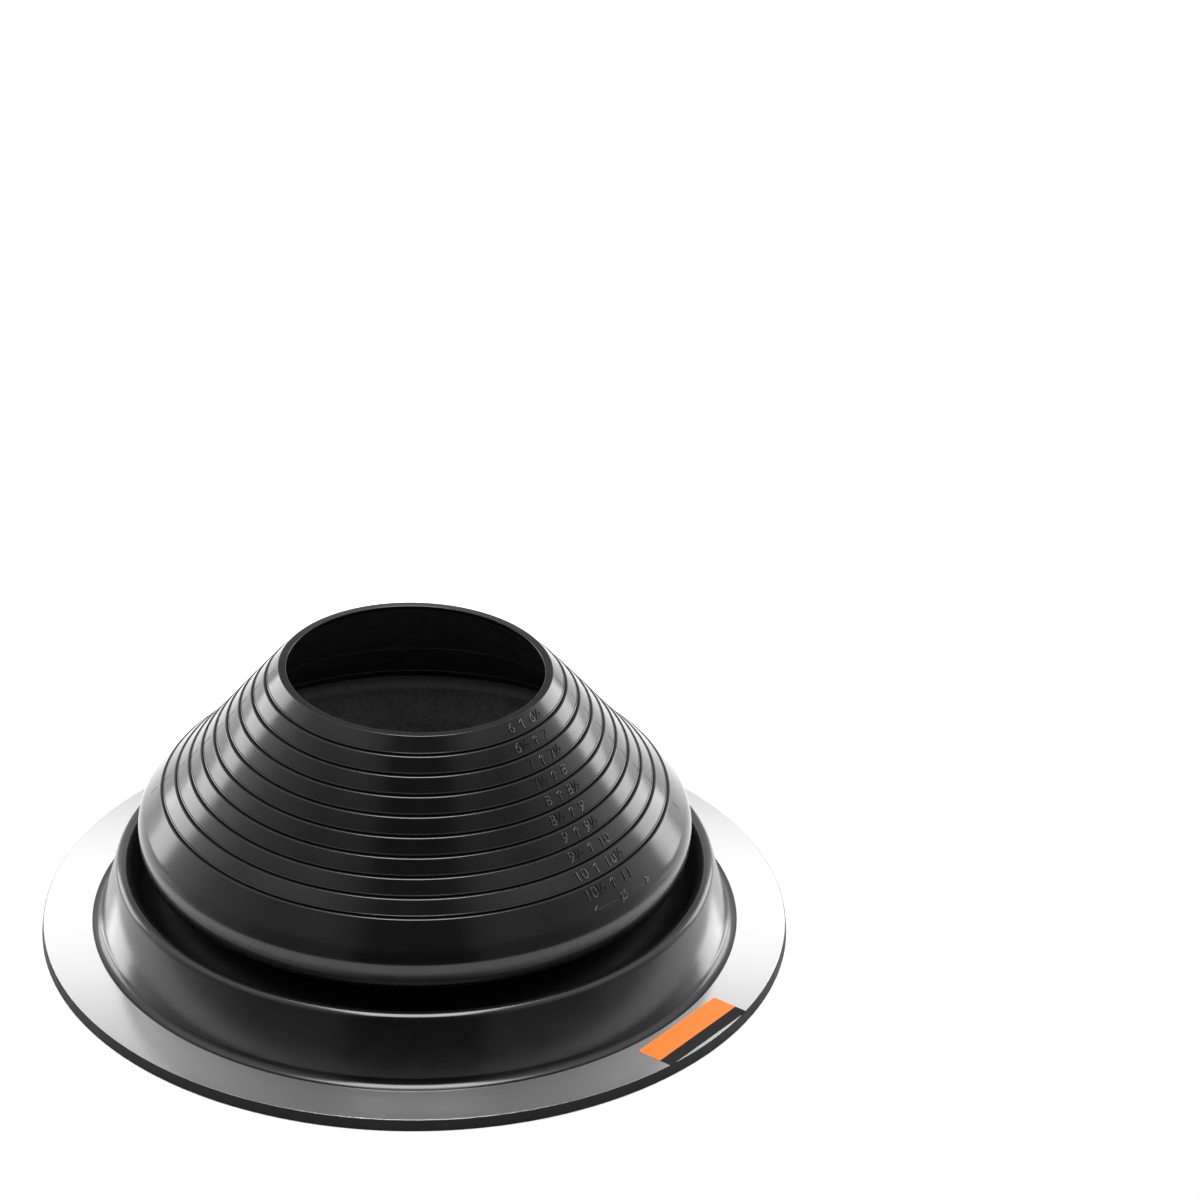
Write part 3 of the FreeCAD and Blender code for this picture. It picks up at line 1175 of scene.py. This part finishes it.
@dataclass(frozen=True)
class SizeFigures:
    """The raised pipe sizes on the cone, one row to a band, in millimetres.

    Attributes:
        cone: The cone they stand on.
        dome: The dome below it.
        rows: The angle of each row's middle from the front, in degrees, and its letters.
        depths: Middle of a row below its band's top, between cut lines and on the last band.
        scales: Scale of the top row, and its growth from row to row.
        seams: Angle of each mould line from the front, in degrees.
        seam: The piece of a mould line on one band.
        seam_depth: Its middle below the band's top.
        sign: The diameter sign between its arrows.
        sign_angle: Angle of its middle from the front, in degrees.
        sign_depth: Its middle below the last band's top.
        sunk: How deep a stroke's foot is sunk in the rubber.
        flat: Width of a stroke's flat top, as a share of the stroke's width.
        overrun: How far a stroke runs on past its ends, as a share of half its width.
        gap: Distance below which a stroke's ends are one.
        crease: Angle from which an edge of a stroke stays sharp, in degrees.
    """

    cone: Cone = Cone()
    dome: Dome = Dome()
    rows: tuple[tuple[float, str], ...] = (
        (48.2, "6^6h"),
        (46.0, "6h^7"),
        (48.3, "7^7h"),
        (46.1, "7h^8"),
        (47.9, "8^8h"),
        (45.9, "8h^9"),
        (47.3, "9^9h"),
        (46.9, "9h^10"),
        (47.0, "10^10h"),
        (46.4, "10h^11"),
    )
    depths: Point = (4.1, 4.3)
    scales: Point = (1.14, 0.018)
    seams: Point = (84.0, -91.0)
    seam: Mark = Mark("|", 0.0, 0.0, 5.0, 0.35, 0.06)
    seam_depth: float = 5.6
    sign: tuple[Mark, ...] = (
        Mark("<", -12.5, 0.0, 5.2),
        Mark("O", 0.0, 0.0, 5.2),
        Mark(">", 12.5, 0.0, 5.2),
    )
    sign_angle: float = 48.6
    sign_depth: float = 12.4
    sunk: float = 0.2
    flat: float = 0.66
    overrun: float = 0.8
    gap: float = 0.01
    crease: float = 80.0

    def surface(self, band: int, below: float) -> Triple:
        """A place on a band.

        Args:
            band: Number of the cut line above the band, 0 for the lip.
            below: Distance down the slope from the band's top, in millimetres.

        Returns:
            Radius, height, and the lean of the outward normal above the horizontal.
        """
        top = self.cone.band_top(band)
        last = band == self.cone.count
        foot = self.dome.shoulder if last else self.cone.band_foot(band + 1)
        run, drop = foot[0] - top[0], top[1] - foot[1]
        length = math.hypot(run, drop)
        lean = math.atan2(run, drop)
        if below <= length:
            return top[0] + run * below / length, top[1] - drop * below / length, lean
        radius = self.dome.radius
        lean -= (below - length) / radius
        across, up = radius * math.cos(lean), radius * math.sin(lean)
        return self.dome.centre[0] + across, self.dome.centre[1] + up, lean

    def place(self, band: int, angle: float, aside: float, below: float, up: float) -> Vector:
        """A point over a band.

        Args:
            band: Number of the cut line above the band.
            angle: Angle of the row's middle from the front, in radians.
            aside: Distance round the band from the row's middle, in millimetres.
            below: Distance down the slope from the band's top, in millimetres.
            up: Height over the band, in millimetres.

        Returns:
            The point, in metres.
        """
        radius, height, lean = self.surface(band, below)
        turn = angle + aside / radius
        out = radius + up * math.cos(lean)
        spot = (out * math.sin(turn), -out * math.cos(turn), height + up * math.sin(lean))
        return Vector(spot) * MM

    def ridge(
        self, mesh: bmesh.types.BMesh, band: int, degrees: float, depth: float, mark: Mark
    ) -> None:
        """Add one figure as raised strokes with a flat top.

        Args:
            mesh: The mesh that grows.
            band: Number of the cut line above the band.
            degrees: Angle of the row's middle from the front.
            depth: Distance of the row's middle below the band's top, in millimetres.
            mark: The figure and its place.
        """
        angle = math.radians(degrees)
        half = mark.width / 2
        flat = half * self.flat
        shape = ((-half, -self.sunk), (-flat, mark.height), (flat, mark.height), (half, -self.sunk))
        for stroke in FIGURES[mark.figure]:
            closed = math.dist(stroke[0], stroke[-1]) < self.gap
            spots = [(mark.place + x * mark.size, mark.lift + y * mark.size) for x, y in stroke]
            points = [Vector(spot) for spot in spots]
            if closed:
                points.pop()
            last = len(points) - 1
            rings = []
            for number, point in enumerate(points):
                before = points[number - 1] if number or closed else point
                after = points[number + 1 if number < last else 0]
                if number == last and not closed:
                    after = point
                ahead = (after - before).normalized()
                side = Vector((ahead.y, -ahead.x))
                if before is point:
                    point = point - ahead * half * self.overrun
                if after is point:
                    point = point + ahead * half * self.overrun
                ring = []
                for aside, up in shape:
                    spot = point + side * aside
                    corner = self.place(band, angle, spot.x, depth - spot.y, up)
                    ring.append(mesh.verts.new(corner))
                rings.append(ring)
            pairs = list(zip(rings, rings[1:])) + ([(rings[-1], rings[0])] if closed else [])
            for near, far in pairs:
                for i in range(len(shape)):
                    mesh.faces.new((near[i - 1], near[i], far[i], far[i - 1]))
            if not closed:
                mesh.faces.new(rings[0])
                mesh.faces.new(list(reversed(rings[-1])))

    def build(self, finish: bpy.types.Material) -> bpy.types.Object:
        """Build all the rows as one piece.

        Args:
            finish: The rubber of the boot.

        Returns:
            The piece.
        """
        mesh = bmesh.new()
        last = self.cone.count
        for band, (degrees, text) in enumerate(self.rows):
            depth = self.depths[1] if band == last else self.depths[0]
            for mark in row_marks(text, self.scales[0] + self.scales[1] * band):
                self.ridge(mesh, band, degrees, depth, mark)
            for seam in self.seams:
                self.ridge(mesh, band, seam, self.seam_depth, self.seam)
        for mark in self.sign:
            self.ridge(mesh, last, self.sign_angle, self.sign_depth, mark)
        bmesh.ops.recalc_face_normals(mesh, faces=mesh.faces)
        piece = finished("size_figures", mesh, self.crease)
        self.cone.press(piece)
        piece.data.materials.append(finish)
        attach(piece, "root")
        return piece


# Ring and label


@dataclass(frozen=True)
class MetalRing:
    """The flat metal ring on the flange, in millimetres.

    Attributes:
        inner: Radius of its hole.
        outer: Radius of its rim.
        edge: Rounding of its sheared edges.
        step: Turn between two points of that rounding, in degrees.
        finish: Its metal.
    """

    inner: float = 158.9
    outer: float = 182.75
    edge: float = 0.06
    step: float = 30.0
    finish: MetalFinish = MetalFinish()

    def build(self) -> bpy.types.Object:
        """Build the ring.

        Returns:
            The piece, which stands for the ring's node.
        """
        section = Section(step=math.radians(self.step))
        section.go((self.inner, SEAT_HEIGHT), (self.outer, SEAT_HEIGHT))
        section.round((self.outer, METAL_TOP), (self.inner, METAL_TOP), self.edge)
        section.round((self.inner, METAL_TOP), (self.inner, SEAT_HEIGHT), self.edge)
        piece = turned("metal_ring", section)
        piece.data.materials.append(self.finish.material())
        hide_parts("aluminium_ring")
        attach(piece, "root")
        return piece


@dataclass(frozen=True)
class RimLabel:
    """The blank two-colour label on the ring, in millimetres.

    Attributes:
        angle: Its place round the rim from the front, in degrees.
        length: Its length.
        near: Its edge towards the cone, from the axis.
        far: Its edge towards the rim, from the axis.
        strip: Width of the dark strip along the far edge.
        thickness: Thickness of the film.
        corner: Rounding of its corners.
        segments: Number of steps in a corner.
        face: Finish of the larger part.
        border: Finish of the strip.
    """

    angle: float = 50.4
    length: float = 60.0
    near: float = 161.65
    far: float = 180.9
    strip: float = 6.5
    thickness: float = 0.2
    corner: float = 0.8
    segments: int = 4
    face: FilmFinish = FilmFinish("orange_film", (0.84, 0.175, 0.035))
    border: FilmFinish = FilmFinish("dark_film", (0.02, 0.019, 0.02), 0.4, 0.02)

    def build(self) -> bpy.types.Object:
        """Build the label.

        Returns:
            The piece, which stands for the label's node.
        """
        mesh = bmesh.new()
        half, line, bottom = self.length / 2, -self.far + self.strip, METAL_TOP * MM
        grid = [
            [mesh.verts.new((x * MM, y * MM, bottom)) for x in (-half, half)]
            for y in (-self.far, line, -self.near)
        ]
        for low, high in zip(grid, grid[1:]):
            mesh.faces.new((low[0], low[1], high[1], high[0]))
        bmesh.ops.bevel(
            mesh,
            geom=[grid[0][0], grid[0][1], grid[-1][0], grid[-1][1]],
            offset=self.corner * MM,
            affect="VERTICES",
            segments=self.segments,
            profile=0.5,
            material=-1,
        )
        lifted = bmesh.ops.extrude_face_region(mesh, geom=list(mesh.faces))
        tops = [item for item in lifted["geom"] if isinstance(item, bmesh.types.BMVert)]
        bmesh.ops.translate(mesh, verts=tops, vec=(0.0, 0.0, self.thickness * MM))
        bmesh.ops.recalc_face_normals(mesh, faces=mesh.faces)
        for face in mesh.faces:
            face.material_index = 1 if face.calc_center_median().y < line * MM else 0
        turn = Matrix.Rotation(math.radians(self.angle), 3, "Z")
        bmesh.ops.rotate(mesh, verts=mesh.verts, cent=(0.0, 0.0, 0.0), matrix=turn)
        piece = finished("rim_label", mesh)
        # The rubber beside the label mirrors no orange in the photograph.
        piece.visible_glossy = False
        for finish in (self.face, self.border):
            piece.data.materials.append(finish.material())
        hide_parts("label")
        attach(piece, "root")
        return piece


# Studio


def direction(azimuth: float, elevation: float) -> Vector:
    """Direction from the boot.

    Args:
        azimuth: From the front towards the right, in degrees.
        elevation: Above the floor, in degrees.

    Returns:
        The direction, one metre long.
    """
    turn, rise = math.radians(azimuth), math.radians(elevation)
    level = math.cos(rise)
    return Vector((math.sin(turn) * level, -math.cos(turn) * level, math.sin(rise)))


@dataclass(frozen=True)
class Softbox:
    """A soft rectangular light that faces the boot.

    Attributes:
        name: Name of the light.
        azimuth: From the front towards the right, in degrees.
        elevation: Above the floor, in degrees.
        distance: From the boot, in metres.
        width: Across, in metres.
        tall: The other way, in metres.
        radiance: Brightness of its face.
    """

    name: str
    azimuth: float
    elevation: float
    distance: float
    width: float
    tall: float
    radiance: float

    def build(self) -> None:
        """Place the light."""
        lamp = bpy.data.lights.new(self.name, "AREA")
        lamp.shape = "RECTANGLE"
        lamp.size, lamp.size_y = self.width, self.tall
        lamp.energy = AREA_LIGHT_FACTOR * self.width * self.tall * self.radiance
        away = direction(self.azimuth, self.elevation)
        across = direction(self.azimuth + 90.0, 0.0)
        turn = Matrix((across, away.cross(across), away)).transposed().to_4x4()
        light = bpy.data.objects.new(self.name, lamp)
        light.matrix_world = Matrix.Translation(AIM + away * self.distance) @ turn
        light.visible_camera = False
        bpy.context.scene.collection.objects.link(light)


@dataclass(frozen=True)
class Floor:
    """The white floor in front of and round the boot, which keeps its soft shadow.

    Attributes:
        apron: Radius of its front edge round the boot, in metres.
        azimuths: Azimuth of each point of that edge, in degrees.
        widening: How far behind the boot it has its full width, in metres.
        extent: Half its full width, and how far back it goes, in metres.
        finish: Its surface.
    """

    apron: float = 0.27
    azimuths: range = range(-98, 99, 7)
    widening: float = 0.95
    extent: float = 6.0
    finish: FloorFinish = FloorFinish()

    def build(self) -> None:
        """Lay the floor."""
        far, start = self.extent, self.widening
        corners = ((far, start), (far, far), (-far, far), (-far, start))
        front = [direction(azimuth, 0.0) * self.apron for azimuth in self.azimuths]
        back = [Vector((*corner, 0.0)) for corner in corners]
        mesh = bmesh.new()
        mesh.faces.new([mesh.verts.new(place) for place in front + back])
        piece = finished("floor", mesh)
        piece.data.materials.append(self.finish.material())


@dataclass(frozen=True)
class Room:
    """The room that the boot mirrors, dark in front of it and plain white for the camera.

    Attributes:
        walls: Brightness at half strength, by the share of the half turn from front to back.
        upper: Share of the side light, by the height of the direction.
        sides: Brightness of the side light, by the share of the half turn.
        strength: What all of these are multiplied by.
        backdrop: Colour that the camera sees.
    """

    walls: tuple[Point, ...] = (
        (0.0, 0.0),
        (0.128, 0.0),
        (0.142, 0.1),
        (0.33, 0.1),
        (0.42, 0.2),
        (0.53, 0.32),
        (0.6, 0.6),
        (0.8, 0.6),
        (0.88, 0.3),
        (1.0, 0.08),
    )
    upper: tuple[Point, ...] = ((0.0, 0.0), (0.56, 0.0), (0.7, 1.0))
    sides: tuple[Point, ...] = ((0.15, 0.0), (0.3, 0.25), (0.55, 0.25), (0.65, 0.0))
    strength: float = 2.0
    backdrop: tuple[float, float, float, float] = (1.0, 1.0, 1.0, 1.0)

    def build(self) -> None:
        """Set the room as the scene's world."""
        world = bpy.data.worlds.new("studio")
        bpy.context.scene.world = world
        nodes = Nodes(world)
        parts = nodes.axes("Generated").outputs
        ahead = nodes.calculate("MULTIPLY", parts["Y"], -1.0)
        angle = nodes.calculate("ABSOLUTE", nodes.calculate("ARCTAN2", parts["X"], ahead))
        share = nodes.calculate("DIVIDE", angle, math.pi)
        walls = nodes.curve(share, self.walls)
        upper = nodes.curve(parts["Z"], self.upper)
        sides = nodes.calculate("MULTIPLY", upper, nodes.curve(share, self.sides))
        light = nodes.calculate("ADD", walls, sides)
        nodes.drive("Color", nodes.calculate("MULTIPLY", light, self.strength))
        white = nodes.add("ShaderNodeBackground", COLOR=self.backdrop)
        blend = nodes.add("ShaderNodeMixShader")
        seen = nodes.add("ShaderNodeLightPath").outputs["Is Camera Ray"]
        nodes.link(seen, blend.inputs["Fac"])
        nodes.link(nodes.shader.outputs["Background"], blend.inputs[1])
        nodes.link(white.outputs["Background"], blend.inputs[2])
        surface = nodes.tree.nodes["World Output"].inputs["Surface"]
        nodes.link(blend.outputs["Shader"], surface)


@dataclass(frozen=True)
class Camera:
    """The camera, with its frame's middle to the right of the boot and above it.

    Attributes:
        place: Where it stands, in metres.
        tilt: How far it looks down at the boot, in degrees.
        focal: Its focal length, in pixels.
        seen: Width of the whole frame, in pixels.
        aside: How far the frame's middle is to the right of the boot, in pixels.
        above: How far it is above the boot, in pixels.
        sensor: Width of its sensor, in millimetres.
        reach: How far it sees, in metres.
    """

    place: Triple = (0.0, -2.04395, 1.28162)
    tilt: float = 31.504
    focal: float = 4859.6
    seen: float = 1200.0
    aside: float = 184.6
    above: float = 270.0
    sensor: float = 36.0
    reach: float = 100.0

    def build(self) -> None:
        """Place the camera."""
        tilt = math.radians(self.tilt)
        right = Vector((1.0, 0.0, 0.0))
        look = Vector((0.0, math.cos(tilt), -math.sin(tilt)))
        up = right.cross(look)
        ahead = (look * self.focal + right * self.aside + up * self.above).normalized()
        top = look.rotation_difference(ahead) @ up
        turn = Matrix((ahead.cross(top), top, -ahead)).transposed().to_4x4()
        lens = bpy.data.cameras.new("camera")
        lens.sensor_width = self.sensor
        lens.lens = self.sensor * self.focal / self.seen
        lens.clip_end = self.reach
        camera = bpy.data.objects.new("camera", lens)
        camera.matrix_world = Matrix.Translation(Vector(self.place)) @ turn
        bpy.context.scene.collection.objects.link(camera)
        bpy.context.scene.camera = camera


@dataclass(frozen=True)
class Studio:
    """Floor, room, lights and camera.

    Attributes:
        floor: The floor.
        room: The room.
        boxes: The lights.
        camera: The camera.
    """

    floor: Floor = Floor()
    room: Room = Room()
    boxes: tuple[Softbox, ...] = (
        Softbox("light_overhead", 0.0, 92.0, 2.0, 0.9, 1.75, 9.0),
        Softbox("light_left", -129.0, 13.0, 2.6, 1.1, 1.1, 3.7),
        Softbox("light_right", 129.0, 13.0, 2.6, 1.1, 1.1, 3.7),
        Softbox("light_back", 180.0, 27.5, 0.505, 1.1, 0.11, 0.8),
        Softbox("light_low_back", 180.0, 10.0, 0.46, 1.1, 0.2, 0.25),
    )
    camera: Camera = Camera()

    def build(self) -> None:
        """Build the whole studio."""
        for part in (self.floor, self.room, *self.boxes, self.camera):
            part.build()
        bpy.context.scene.view_settings.view_transform = "Standard"


def main() -> None:
    """Build the boot and its studio."""
    boot = RubberBoot()
    moulding = boot.build()
    SizeFigures(boot.cone, boot.dome).build(moulding.data.materials[Skin.GLOSSY.value])
    MetalRing().build()
    RimLabel().build()
    Studio().build()


if __name__ == "__main__":
    main()
